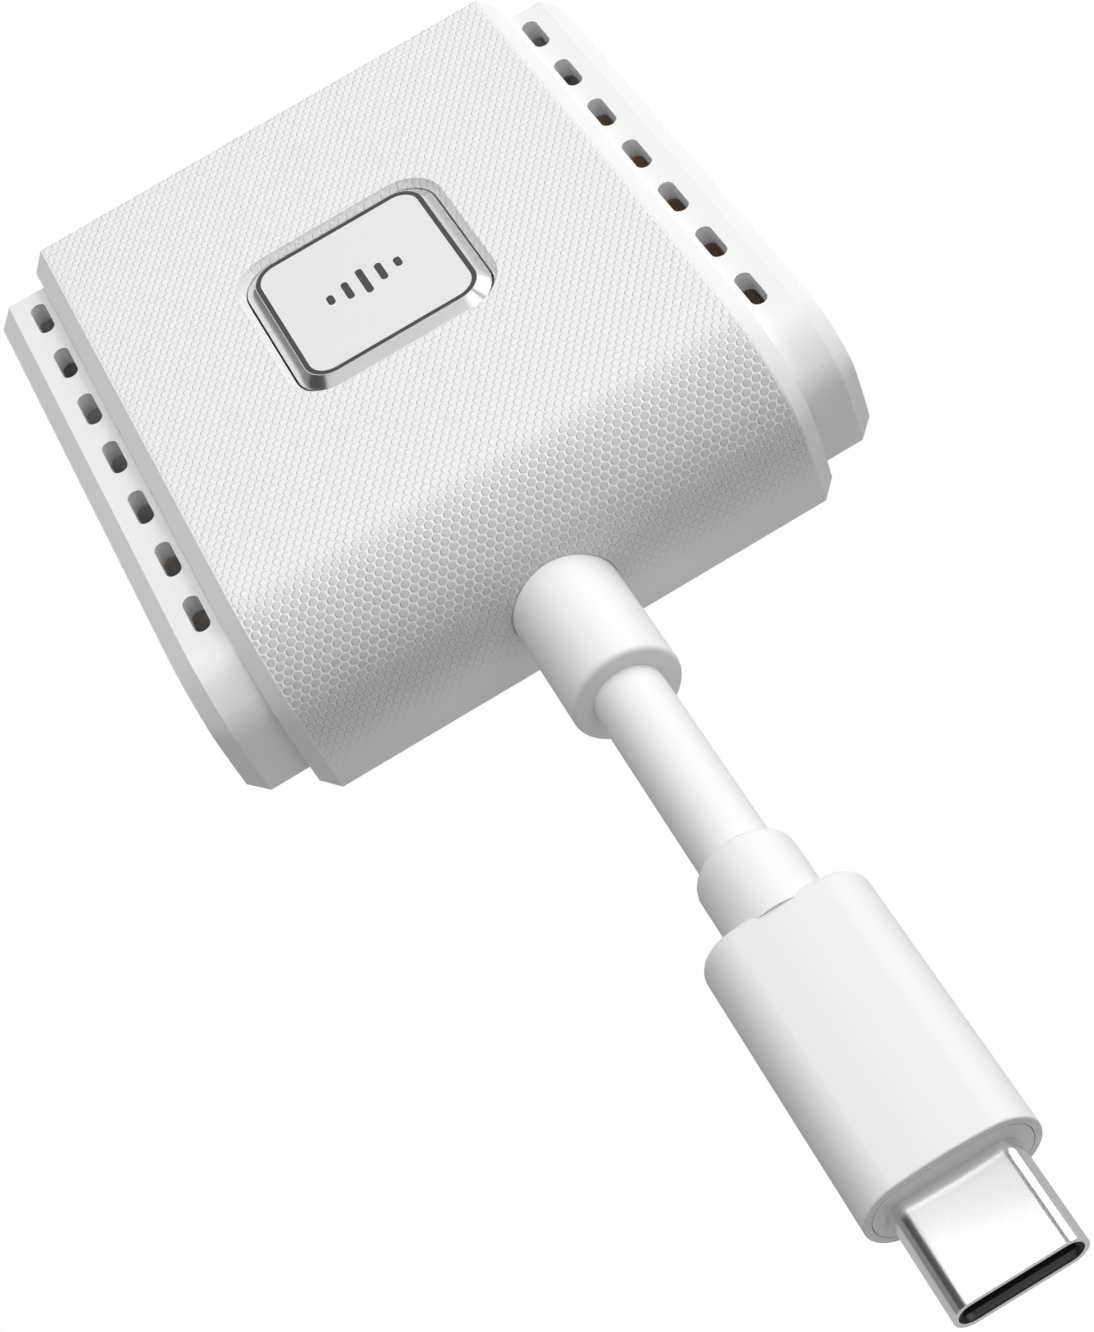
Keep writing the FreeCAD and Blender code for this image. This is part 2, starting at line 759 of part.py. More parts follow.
def make_radio():
    place = boardFront + s.shieldSetback + s.shieldDeep / 2
    body = new_body("shield_frame")
    outer = flat_sketch(body, "outer", boardHigh)
    draw_rectangle(outer, 0, place, s.shieldWide, s.shieldDeep)
    pad(body, "fence", outer, s.shieldTall)
    inner = flat_sketch(body, "inner", boardHigh)
    draw_rectangle(inner, 0, place, s.shieldWide - s.shieldWall * 2, s.shieldDeep - s.shieldWall * 2)
    pocket(body, "room", inner, s.shieldTall)
    lid = new_body("shield_lid")
    outline = flat_sketch(lid, "outline", boardHigh + s.shieldTall)
    draw_rectangle(outline, 0, place, s.shieldWide, s.shieldDeep)
    pad(lid, "sheet", outline, s.shieldWall)
    side = s.shieldWide / 4
    PIECES.append(block("radio_chip", -side, place, boardHigh, s.radioWide, s.radioWide, s.radioTall))
    PIECES.append(block("crystal", side, place, boardHigh, s.crystalWide, s.crystalDeep, s.crystalTall))


def make_processor():
    place = rear - s.chipRear
    wide = boardWide - s.spreaderSide * 2
    PIECES.append(block("processor_chip", -s.processorSide, place, boardHigh, s.processorWide,
                        s.processorWide, s.processorTall))
    PIECES.append(block("flash_chip", s.flashSide, place, boardHigh, s.flashWide, s.flashDeep, s.flashTall))
    PIECES.append(block("thermal_pad", -s.processorSide, place, boardHigh + s.processorTall,
                        s.processorWide, s.processorWide, s.padThick))
    body = new_body("heat_spreader")
    legs = flat_sketch(body, "legs", boardHigh)
    for sign in (-1, 1):
        draw_rectangle(legs, (wide - s.spreaderLeg) / 2 * sign, place, s.spreaderLeg, s.spreaderDeep)
    pad(body, "leg_pad", legs, s.processorTall + s.padThick)
    plate = flat_sketch(body, "plate", boardHigh + s.processorTall + s.padThick)
    draw_rectangle(plate, 0, place, wide, s.spreaderDeep)
    pad(body, "plate_pad", plate, s.spreaderThick)


def make_small_parts():
    edge = boardWide / 2 - s.capacitorEdge
    group("capacitors", [
        post(f"capacitor_{number}", edge * sign, s.buttonPlace, boardHigh, s.capacitorRadius, s.capacitorTall)
        for number, sign in enumerate((-1, 1), 1)
    ])
    PIECES.append(block("inductor", edge, s.buttonPlace - s.inductorPlace, boardHigh, s.inductorWide,
                        s.inductorWide, s.inductorTall))
    wall = capEnd - s.capWall - s.antennaThick / 2
    low = s.bodyTall / 2 - s.antennaTall / 2
    for label, sign in (("antenna_left", -1), ("antenna_right", 1)):
        PIECES.append(block(label, wall * sign, s.buttonPlace, low, s.antennaThick, s.antennaDeep,
                            s.antennaTall))


def make_switch():
    body = new_body("switch_body")
    outline = flat_sketch(body, "outline", boardHigh)
    draw_rectangle(outline, 0, s.buttonPlace, s.switchWide, s.switchWide)
    pad(body, "housing", outline, switchHigh - boardHigh)
    well = flat_sketch(body, "well", stemLow - s.pressRoom)
    draw_circle(well, 0, s.buttonPlace, s.stemRadius + s.stemGap)
    pocket(body, "stem_well", well, switchHigh - stemLow + s.pressRoom)
    cover = new_body("switch_cover")
    sheet_metal = flat_sketch(cover, "outline", switchHigh)
    draw_rectangle(sheet_metal, 0, s.buttonPlace, s.switchWide, s.switchWide)
    draw_circle(sheet_metal, 0, s.buttonPlace, s.stemRadius + s.stemGap)
    pad(cover, "sheet", sheet_metal, s.coverThick)
    PIECES.append(post("switch_stem", 0, s.buttonPlace, stemLow, s.stemRadius, flangeLow - stemLow))


# ---- push button: everything here travels together

def make_button():
    carrier = new_body("button_carrier")
    flange = flat_sketch(carrier, "flange", flangeLow)
    lap = s.flangeLap * 2
    draw_rectangle(flange, 0, s.buttonPlace, holeWide + lap, holeDeep + lap, s.frameCorner + s.flangeLap)
    pad(carrier, "flange_pad", flange, s.flangeThick)
    base = flat_sketch(carrier, "base", flangeHigh)
    draw_rectangle(base, 0, s.buttonPlace, s.frameWide, s.frameDeep, s.frameCorner)
    pad(carrier, "base_pad", base, frameLow - flangeHigh)
    core = flat_sketch(carrier, "core", frameLow)
    draw_rectangle(core, 0, s.buttonPlace, s.ringWide, s.ringDeep, s.ringCorner)
    pad(carrier, "core_pad", core, plateLow - frameLow)

    rim = new_body("button_frame")
    foot = flat_sketch(rim, "foot", frameLow)
    draw_rectangle(foot, 0, s.buttonPlace, s.frameWide, s.frameDeep, s.frameCorner)
    pad(rim, "foot_pad", foot, s.frameTall - s.frameDrop)
    skirt = flat_sketch(rim, "skirt", plateHigh - s.frameDrop)
    draw_rectangle(skirt, 0, s.buttonPlace, s.frameWide, s.frameDeep, s.frameCorner)
    crown = flat_sketch(rim, "crown", plateHigh)
    narrow = s.frameBevel * 2
    draw_rectangle(crown, 0, s.buttonPlace, s.frameWide - narrow, s.frameDeep - narrow,
                   s.frameCorner - s.frameBevel + s.slipFit)
    loft(rim, "AdditiveLoft", "bevel", skirt, crown)
    window = flat_sketch(rim, "window", frameLow)
    draw_rectangle(window, 0, s.buttonPlace, s.ringWide, s.ringDeep, s.ringCorner)
    pocket(rim, "window_cut", window, s.frameTall)

    seam = s.ringLine * 2
    ring = new_body("button_ring")
    outer = flat_sketch(ring, "outer", plateLow)
    draw_rectangle(outer, 0, s.buttonPlace, s.ringWide, s.ringDeep, s.ringCorner)
    pad(ring, "line", outer, s.plateThick - s.ringSunk)
    inner = flat_sketch(ring, "inner", plateLow)
    draw_rectangle(inner, 0, s.buttonPlace, s.ringWide - seam, s.ringDeep - seam, s.ringCorner - s.ringLine)
    pocket(ring, "middle", inner, s.plateThick)

    plate = new_body("button_plate")
    face = flat_sketch(plate, "face", plateLow)
    draw_rectangle(face, 0, s.buttonPlace, s.ringWide - seam, s.ringDeep - seam, s.ringCorner - s.ringLine)
    pad(plate, "sheet", face, s.plateThick)
    bed = flat_sketch(plate, "glyph_bed", plateHigh - s.glyphDeep)
    draw_bars(bed)
    pocket(plate, "glyph_cut", bed, s.glyphDeep)

    glyph = new_body("button_glyph")
    bars = flat_sketch(glyph, "bars", plateHigh - s.glyphDeep)
    draw_bars(bars)
    pad(glyph, "bar_pad", bars, s.glyphDeep)


def draw_bars(sketch):
    """Five upright bars like a level meter."""
    heights = (s.glyphShort, s.glyphMiddle, s.glyphTall, s.glyphMiddle, s.glyphShort)
    for number, tall in enumerate(heights):
        draw_slot(sketch, s.glyphPitch * (number - 2), s.buttonPlace, s.glyphBar, tall, upright=True)


# ---- lead

def make_lead():
    body = new_body("cable_clamp")
    outline = flat_sketch(body, "outline", cableHigh)
    draw_rectangle(outline, 0, clampPlace, s.clampWide, s.clampDeep)
    pad(body, "bridge", outline, clampTall)
    groove = front_sketch(body, "groove", clampPlace + s.clampDeep)
    draw_circle(groove, 0, cableHigh, s.cableRadius)
    pocket(body, "bridge_groove", groove, s.clampDeep * 2)
    holes = flat_sketch(body, "holes", cableHigh)
    for sign in (-1, 1):
        draw_circle(holes, s.clampScrewPlace * sign, clampPlace, s.clampShank + s.slipFit)
    pocket(body, "screw_holes", holes, clampTall)
    group("clamp_screws", [
        screw(f"clamp_screw_{number}", s.clampScrewPlace * sign, clampPlace, cableHigh + clampTall,
              s.clampHead, s.screwTall, s.clampShank, s.clampScrewLong)
        for number, sign in enumerate((-1, 1), 1)
    ])

    relief = new_body("strain_relief")
    seat = front + s.reliefSeat
    collar = front_sketch(relief, "collar", seat + s.collarThick)
    draw_rectangle(collar, 0, collarLow + collarTall / 2, collarRadius * 2, collarTall, collarRadius * 0.4)
    pad(relief, "collar_pad", collar, s.collarThick)
    barrel = front_sketch(relief, "barrel", seat)
    draw_circle(barrel, 0, cableHigh, reliefRadius)
    pad(relief, "barrel_pad", barrel, s.reliefSeat + s.reliefProud)
    tip = front - s.reliefProud
    fillet(relief, "tip", relief.Tip, lambda edge: level(edge, "Y", tip), s.reliefEdge)
    bore = front_sketch(relief, "bore", seat + s.collarThick)
    draw_circle(bore, 0, cableHigh, s.cableRadius)
    pocket(relief, "cable_bore", bore, s.collarThick + s.reliefSeat + s.reliefProud)

    jacket = new_body("cable_jacket")
    section = front_sketch(jacket, "section", jacketStart)
    draw_circle(section, 0, cableHigh, s.cableRadius)
    draw_circle(section, 0, cableHigh, braidRadius)
    pad(jacket, "tube", section, jacketStart - jacketEnd)
    braid = new_body("cable_braid")
    weave = front_sketch(braid, "section", jacketStart + 1)
    draw_circle(weave, 0, cableHigh, braidRadius)
    draw_circle(weave, 0, cableHigh, braidRadius - s.braidThick)
    pad(braid, "tube", weave, jacketStart - jacketEnd + 2)
    wires = []
    start = boardFront - s.slipFit
    for number, (across, up) in enumerate(((-1, -1), (1, -1), (-1, 1), (1, 1)), 1):
        wires.append(rod(f"wire_{number}", wireOffset * across, cableHigh + wireOffset * up, start,
                         s.wireRadius, start - plugBoardRear))
    group("core_wires", wires)


# ---- plug

plugBoardFront = plugFront + s.shellSeat
plugBoardRear = plugBoardFront + s.plugBoardLong


def make_plug_housing():
    boot = new_body("plug_boot")
    sleeve = front_sketch(boot, "sleeve", bootRear)
    draw_circle(sleeve, 0, cableHigh, bootRadius)
    pad(boot, "sleeve_pad", sleeve, s.bootLong + s.bootLap)
    fillet(boot, "shoulder", boot.Tip, lambda edge: level(edge, "Y", bootRear), s.bootEdge)
    spigot = front_sketch(boot, "spigot", plugRear)
    draw_circle(spigot, 0, cableHigh, spigotRadius)
    pad(boot, "spigot_pad", spigot, s.spigotLong)
    bore = front_sketch(boot, "bore", bootRear)
    draw_circle(bore, 0, cableHigh, s.cableRadius)
    pocket(boot, "jacket_bore", bore, s.jacketInBoot)
    core = front_sketch(boot, "core", jacketEnd)
    draw_circle(core, 0, cableHigh, braidRadius)
    pocket(boot, "braid_bore", core, s.bootLong + s.spigotLong + s.bootLap)

    grip = new_body("plug_overmold")
    section = front_sketch(grip, "section", plugRear)
    draw_crowned(section, as_size(0))
    pad(grip, "block", section, s.plugLong)
    rounded = fillet(grip, "shoulder", grip.Tip, lambda edge: level(edge, "Y", plugRear), s.plugShoulder)
    fillet(grip, "lip", rounded, lambda edge: level(edge, "Y", plugFront), s.plugLip)
    seat = front_sketch(grip, "boot_seat", plugRear)
    draw_circle(seat, 0, cableHigh, bootRadius)
    pocket(grip, "boot_seat_cut", seat, s.bootLap)
    hole = front_sketch(grip, "hole", plugRear)
    draw_circle(hole, 0, cableHigh, spigotRadius)
    pocket(grip, "spigot_hole", hole, s.spigotLong)
    room = front_sketch(grip, "room", plugRear - s.spigotLong)
    draw_crowned(room, s.plugWall)
    pocket(grip, "inside", room, s.plugLong)
    bed = front_sketch(grip, "face_bed", plugFront + s.faceSunk)
    draw_crowned(bed, s.faceInset)
    pocket(grip, "face_cut", bed, s.faceSunk)

    cover = new_body("plug_face")
    outline = front_sketch(cover, "outline", plugFront + s.faceSunk)
    draw_crowned(outline, s.faceInset + s.faceGap)
    pad(cover, "plate", outline, s.faceSunk)
    slot = front_sketch(cover, "slot", plugFront + s.faceSunk)
    draw_slot(slot, 0, cableHigh, s.shellWide, s.shellThick, upright=False)
    pocket(cover, "shell_slot", slot, s.faceSunk)


def make_connector():
    long = plugBoardFront - mouth
    wide_in = s.shellWide - s.shellWall * 2
    thick_in = s.shellThick - s.shellWall * 2
    shell = new_body("plug_shell")
    outer = front_sketch(shell, "outer", plugBoardFront)
    draw_slot(outer, 0, cableHigh, s.shellWide, s.shellThick, upright=False)
    draw_slot(outer, 0, cableHigh, wide_in, thick_in, upright=False)
    pad(shell, "tube", outer, long)
    liner = new_body("plug_insulator")
    fill = front_sketch(liner, "fill", plugBoardFront)
    draw_slot(fill, 0, cableHigh, wide_in, thick_in, upright=False)
    pad(liner, "block", fill, long - s.shellWall)
    opening = front_sketch(liner, "opening", mouth + s.tongueDeep)
    draw_rectangle(opening, 0, cableHigh, s.tongueWide, s.tongueGap)
    pocket(liner, "socket", opening, s.tongueDeep)
    pins = new_body("contact_pins")
    start = mouth + s.tongueDeep
    first = s.pinPitch * (s.pinCount - 1) / -2
    row = front_sketch(pins, "row", start)
    for sign in (-1, 1):
        place = cableHigh + (s.tongueGap - s.pinThick) / 2 * sign
        draw_rectangle(row, first, place, s.pinWide, s.pinThick)
    strip = pad(pins, "pair", row, s.pinLong)
    pattern(pins, "pairs", strip, row, "H_Axis", s.pinPitch, s.pinCount)
    latches = new_body("latch_springs")
    sides = front_sketch(latches, "sides", start)
    for sign in (-1, 1):
        draw_rectangle(sides, (s.tongueWide - s.latchThick) / 2 * sign, cableHigh, s.latchThick, s.latchWide)
    pad(latches, "blades", sides, s.latchLong)
    place = (plugBoardFront + plugBoardRear) / 2
    low = cableHigh - s.shellThick / 2 + s.shellWall * 0.7 - s.plugBoardThick
    PIECES.append(block("plug_board", 0, place, low, s.plugBoardWide, s.plugBoardLong, s.plugBoardThick))
    PIECES.append(block("plug_chip", 0, place, low + s.plugBoardThick, s.plugChipWide, s.plugChipWide,
                        s.plugChipTall))


make_sleeve()
make_end_cap("left_end_cap", -1)
make_end_cap("right_end_cap", 1)
make_tray()
make_board()
make_radio()
make_processor()
make_small_parts()
make_switch()
make_button()
make_lead()
make_plug_housing()
make_connector()
doc.recompute()

# ---- checks and export

for item in doc.Objects:
    if "Invalid" in item.State or "Error" in item.State:
        raise RuntimeError(f"{item.Name} failed: {item.State}")
    if item.TypeId in ("PartDesign::Pocket", "PartDesign::SubtractiveLoft"):
        if item.Shape.Volume >= item.BaseFeature.Shape.Volume - 1e-6:
            raise RuntimeError(f"{item.Name} cuts nothing")

for piece in PIECES:
    shape = piece.Shape
    if shape.isNull() or not shape.isValid() or shape.Volume <= 0:
        raise RuntimeError(f"{piece.Label} has no valid solid")
    shape.exportStep(f"parts/{piece.Label}.step")
    print(f"{piece.Label}: {len(shape.Solids)} solid(s), {shape.Volume:.2f} mm3")

tube = doc.getObject("cable_jacket").Shape
length = (jacketStart - jacketEnd).number
ring_area = math.pi * (s.cableRadius.number ** 2 - braidRadius.number ** 2)
print(f"lead: one straight run of {length:.2f} mm with no arc, "
      f"volume {tube.Volume:.3f} against section times length {ring_area * length:.3f}")
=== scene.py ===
import bpy
from mathutils import Matrix, Vector


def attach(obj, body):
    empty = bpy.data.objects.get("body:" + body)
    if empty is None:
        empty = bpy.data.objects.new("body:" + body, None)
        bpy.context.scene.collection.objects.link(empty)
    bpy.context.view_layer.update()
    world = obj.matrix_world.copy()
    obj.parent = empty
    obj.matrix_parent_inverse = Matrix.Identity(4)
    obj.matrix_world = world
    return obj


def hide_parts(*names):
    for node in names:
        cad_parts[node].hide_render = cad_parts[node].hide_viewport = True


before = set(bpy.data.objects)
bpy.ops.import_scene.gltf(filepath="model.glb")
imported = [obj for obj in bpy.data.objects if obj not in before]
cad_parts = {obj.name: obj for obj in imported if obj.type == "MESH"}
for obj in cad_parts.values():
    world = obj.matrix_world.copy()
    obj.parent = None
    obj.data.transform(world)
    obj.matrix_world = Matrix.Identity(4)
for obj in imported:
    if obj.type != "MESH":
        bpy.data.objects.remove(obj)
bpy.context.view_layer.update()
print("stage: frame loaded")

shot = {
    "place": (-0.0108, -0.14522, 0.13679),
    "right": (0.85861, -0.41634, -0.29907),
    "up": (0.50926, 0.62603, 0.59055),
    "lens": 73.68,
    "shiftX": -0.0314,
    "shiftY": -0.0126,
    "nearest": 0.005,
}


def addCamera():
    right = Vector(shot["right"]).normalized()
    up = Vector(shot["up"]).normalized()
    back = right.cross(up)
    turn = Matrix((right, up, back)).transposed()
    bpy.ops.object.camera_add(location=shot["place"], rotation=turn.to_euler())
    camera = bpy.context.object
    camera.name = "shotCamera"
    camera.data.lens = shot["lens"]
    camera.data.shift_x = shot["shiftX"]
    camera.data.shift_y = shot["shiftY"]
    camera.data.clip_start = shot["nearest"]
    camera.data.dof.use_dof = False
    bpy.context.scene.camera = camera


addCamera()
print("stage: camera")

studio = {
    "floorSize": 12.0,
    "floorHeight": -0.0002,
    "floorSeen": 1.0,      # how white the floor looks
    "floorBounce": 0.51,   # how much of it lights the object
    "sky": 0.065,
    "aim": (0, -0.02, 0.007),
    "softboxes": (
        # name, place, size, power
        ("rightBox", (0.676, 0.101, 0.149), (0.35, 0.35), 0.20),
        ("topBox", (0.0, 0.035, 0.699), (0.35, 0.35), 2.45),
        ("rearBox", (0.042, 0.462, 0.525), (0.35, 0.35), 0.30),
        ("frontBox", (-0.11, -0.414, 0.56), (0.7, 0.35), 0.50),
        ("highRightBox", (0.492, 0.07, 0.492), (0.35, 0.35), 0.78),
        ("frontRightBox", (0.316, -0.387, 0.492), (0.35, 0.35), 0.72),
        ("rearRightBox", (0.458, 0.317, 0.423), (0.35, 0.35), 1.55),
        ("rimBox", (0.516, 0.460, 0.105), (0.35, 0.25), 0.20),
        ("leftBox", (-0.546, 0.385, 0.210), (0.45, 0.35), 0.10),
    ),
}


def addSoftbox(name, place, boxSize, power):
    direction = Vector(place) - Vector(studio["aim"])
    turn = direction.to_track_quat("Z", "Y").to_euler()
    bpy.ops.object.light_add(type="AREA", location=place, rotation=turn)
    lamp = bpy.context.object
    lamp.name = name
    lamp.data.shape = "RECTANGLE"
    lamp.data.size, lamp.data.size_y = boxSize
    lamp.data.energy = power


def addSky():
    sky = bpy.data.worlds.new("paleSky")
    sky.use_nodes = True
    background = sky.node_tree.nodes["Background"]
    background.inputs["Color"].default_value = (1, 1, 1, 1)
    background.inputs["Strength"].default_value = studio["sky"]
    bpy.context.scene.world = sky


def makePaper():
    # it looks white, and lights the object less than it looks
    paper = bpy.data.materials.new("paleFloor")
    paper.use_nodes = True
    nodes, links = paper.node_tree.nodes, paper.node_tree.links
    nodes.clear()
    glow = nodes.new("ShaderNodeEmission")
    path = nodes.new("ShaderNodeLightPath")
    level = nodes.new("ShaderNodeMapRange")
    level.inputs["To Min"].default_value = studio["floorBounce"]
    level.inputs["To Max"].default_value = studio["floorSeen"]
    output = nodes.new("ShaderNodeOutputMaterial")
    links.new(path.outputs["Is Camera Ray"], level.inputs["Value"])
    links.new(level.outputs["Result"], glow.inputs["Strength"])
    links.new(glow.outputs["Emission"], output.inputs["Surface"])
    return paper


def addFloor():
    bpy.ops.mesh.primitive_plane_add(size=studio["floorSize"],
                                     location=(0, 0, studio["floorHeight"]))
    floor = bpy.context.object
    floor.name = "paleFloor"
    floor.data.materials.append(makePaper())


addSky()
for box in studio["softboxes"]:
    addSoftbox(*box)
addFloor()
bpy.context.scene.view_settings.view_transform = "Standard"
print("stage: studio")


def newGroup(name, inputs, outputs):
    # a shader node group with plain number sockets
    tree = bpy.data.node_groups.new(name, "ShaderNodeTree")
    for socket, value in inputs:
        made = tree.interface.new_socket(socket, in_out="INPUT", socket_type="NodeSocketFloat")
        made.default_value = value
    for socket in outputs:
        tree.interface.new_socket(socket, in_out="OUTPUT", socket_type="NodeSocketFloat")
    return tree, tree.nodes.new("NodeGroupOutput")


def mathNode(tree, operation, *values):
    node = tree.nodes.new("ShaderNodeMath")
    node.operation = operation
    for index, value in enumerate(values):
        if isinstance(value, (int, float)):
            node.inputs[index].default_value = value
        else:
            tree.links.new(value, node.inputs[index])
    return node.outputs[0]


def smoothStep(tree, value, low, high):
    node = tree.nodes.new("ShaderNodeMapRange")
    node.interpolation_type = "SMOOTHSTEP"
    node.inputs["From Min"].default_value = low
    node.inputs["From Max"].default_value = high
    tree.links.new(value, node.inputs["Value"])
    return node.outputs["Result"]


def chooseNode(tree, test, whenTrue, whenFalse):
    # test is 0 or 1
    span = mathNode(tree, "SUBTRACT", whenTrue, whenFalse)
    return mathNode(tree, "MULTIPLY_ADD", test, span, whenFalse)


caseShape = {
    # millimetres and radians, the same as the design's
    "perMetre": 1000,
    "noseY": -16.936,      # centre of the upper bend
    "noseZ": 5.0,
    "noseArc": 9.0,
    "lipY": -20.0,         # centre of the lower, tighter bend
    "lipZ": 7.571,
    "lipArc": 5.0,
    "turn": 0.87266,       # where one bend hands over to the other
    "quarterTurn": 1.5708,
    "flatHalf": 18.87,     # half of the width between the chamfers
    "rear": 25.0,
    "rearSkin": 0.3,       # what counts as the rear face
    "tall": 14.0,
}

scaleTexture = {
    # millimetres, apart from the strengths and the depth
    "rowPitch": 0.516,
    "alongPitch": 0.71,
    "bumpRadius": 0.285,
    "crown": 0.78,         # share of the radius that is full height
    "edgeFade": 0.35,
    "fadeFrom": 1.8,       # heights between which the scales come up
    "fadeTo": 7.5,
    "topStrength": 0.85,
    "noseStrength": 1.7,
    "noseBlend": 4.0,
    "depth": 1.2e-4,       # metres
}


def measureAlong(tree, y, z):
    # the way along the case's outline, with zero where the top meets the nose
    shape = caseShape
    ahead = mathNode(tree, "SUBTRACT", shape["noseY"], y)
    noseAngle = mathNode(tree, "ARCTAN2", ahead, mathNode(tree, "SUBTRACT", z, shape["noseZ"]))
    alongNose = mathNode(tree, "MULTIPLY", noseAngle, shape["noseArc"])
    noseLength = shape["noseArc"] * shape["turn"]
    lipAhead = mathNode(tree, "SUBTRACT", shape["lipY"], y)
    lipAngle = mathNode(tree, "ARCTAN2", lipAhead, mathNode(tree, "SUBTRACT", z, shape["lipZ"]))
    lipTurn = mathNode(tree, "SUBTRACT", lipAngle, shape["turn"])
    alongLip = mathNode(tree, "MULTIPLY_ADD", lipTurn, shape["lipArc"], noseLength)
    lipLength = noseLength + shape["lipArc"] * (shape["quarterTurn"] - shape["turn"])
    alongFront = mathNode(tree, "SUBTRACT", lipLength + shape["lipZ"], z)
    onNose = mathNode(tree, "GREATER_THAN", ahead, 0)
    onLip = mathNode(tree, "GREATER_THAN", noseAngle, shape["turn"])
    belowLip = mathNode(tree, "LESS_THAN", z, shape["lipZ"])
    onFront = mathNode(tree, "MULTIPLY", belowLip, onLip)
    along = chooseNode(tree, onNose, alongNose, ahead)
    along = chooseNode(tree, onLip, alongLip, along)
    along = chooseNode(tree, onFront, alongFront, along)
    # down the rear face the rows go on from the top's last row
    rearStart = shape["noseY"] - shape["rear"] - shape["tall"]
    onRear = mathNode(tree, "GREATER_THAN", y, shape["rear"] - shape["rearSkin"])
    return chooseNode(tree, onRear, mathNode(tree, "ADD", z, rearStart), along)


def latticeOffset(tree, place, pitch, shift):
    # from the nearest scale's middle, in scale radii
    turns = mathNode(tree, "MULTIPLY_ADD", place, 1 / pitch, shift)
    offset = mathNode(tree, "SUBTRACT", mathNode(tree, "FRACT", turns), 0.5)
    return mathNode(tree, "MULTIPLY", offset, pitch / scaleTexture["bumpRadius"])


def tiltedScales(tree, along, x, shift):
    # round scales whose upper edges stand proud
    down = latticeOffset(tree, along, 2 * scaleTexture["rowPitch"], shift)
    across = latticeOffset(tree, x, scaleTexture["alongPitch"], shift)
    squares = mathNode(tree, "ADD", mathNode(tree, "MULTIPLY", down, down),
                       mathNode(tree, "MULTIPLY", across, across))
    reach = mathNode(tree, "SQRT", squares)
    inside = smoothStep(tree, reach, 1.0, scaleTexture["crown"])
    tilt = mathNode(tree, "MULTIPLY_ADD", down, -0.5, 0.5)
    return mathNode(tree, "MULTIPLY", inside, tilt)


def fadeScales(tree, height, along, x, z):
    # they die away low on the case and beside the chamfers, and stand prouder on the nose
    low = smoothStep(tree, z, scaleTexture["fadeFrom"], scaleTexture["fadeTo"])
    fromMiddle = mathNode(tree, "ABSOLUTE", x)
    edge = caseShape["flatHalf"]
    beside = smoothStep(tree, fromMiddle, edge, edge - scaleTexture["edgeFade"])
    fade = mathNode(tree, "MULTIPLY", low, beside)
    onBend = smoothStep(tree, along, 0, scaleTexture["noseBlend"])
    gain = scaleTexture["noseStrength"] - scaleTexture["topStrength"]
    strength = mathNode(tree, "MULTIPLY_ADD", onBend, gain, scaleTexture["topStrength"])
    proud = mathNode(tree, "MULTIPLY", height, strength)
    return mathNode(tree, "MULTIPLY", proud, fade)


def makeScalePattern():
    # moulded scales in staggered rows that follow the case round its nose
    tree, out = newGroup("scalePattern", [], ["Height"])
    coords = tree.nodes.new("ShaderNodeTexCoord")
    split = tree.nodes.new("ShaderNodeSeparateXYZ")
    tree.links.new(coords.outputs["Object"], split.inputs[0])
    x, y, z = (mathNode(tree, "MULTIPLY", split.outputs[axis], caseShape["perMetre"])
               for axis in "XYZ")
    along = measureAlong(tree, y, z)
    # two lattices, one shifted by half a pitch both ways
    height = mathNode(tree, "MAXIMUM", tiltedScales(tree, along, x, 0),
                      tiltedScales(tree, along, x, 0.5))
    tree.links.new(fadeScales(tree, height, along, x, z), out.inputs["Height"])
    return tree


toolGrain = {
    "scale": 4000.0,
    "roughness": 0.4,
    "spread": 0.06,
    "detail": 3,
    "cloudScale": 90,
}


def makeFineGrain():
    # spark-eroded tool grain: a little height and a little change of gloss
    inputs = [("Scale", toolGrain["scale"]), ("Roughness", toolGrain["roughness"]),
              ("Spread", toolGrain["spread"])]
    tree, out = newGroup("fineGrain", inputs, ["Height", "Roughness"])
    given = tree.nodes.new("NodeGroupInput")
    coords = tree.nodes.new("ShaderNodeTexCoord")
    noise = tree.nodes.new("ShaderNodeTexNoise")
    noise.inputs["Detail"].default_value = toolGrain["detail"]
    tree.links.new(coords.outputs["Object"], noise.inputs["Vector"])
    tree.links.new(given.outputs["Scale"], noise.inputs["Scale"])
    cloud = tree.nodes.new("ShaderNodeTexNoise")
    cloud.inputs["Scale"].default_value = toolGrain["cloudScale"]
    tree.links.new(coords.outputs["Object"], cloud.inputs["Vector"])
    swing = mathNode(tree, "SUBTRACT", cloud.outputs[0], 0.5)
    swing = mathNode(tree, "MULTIPLY", swing, given.outputs["Spread"])
    gloss = mathNode(tree, "ADD", given.outputs["Roughness"], swing)
    tree.links.new(gloss, out.inputs["Roughness"])
    tree.links.new(noise.outputs[0], out.inputs["Height"])
    return tree


groups = {"scalePattern": makeScalePattern(), "fineGrain": makeFineGrain()}
print("stage: node groups")

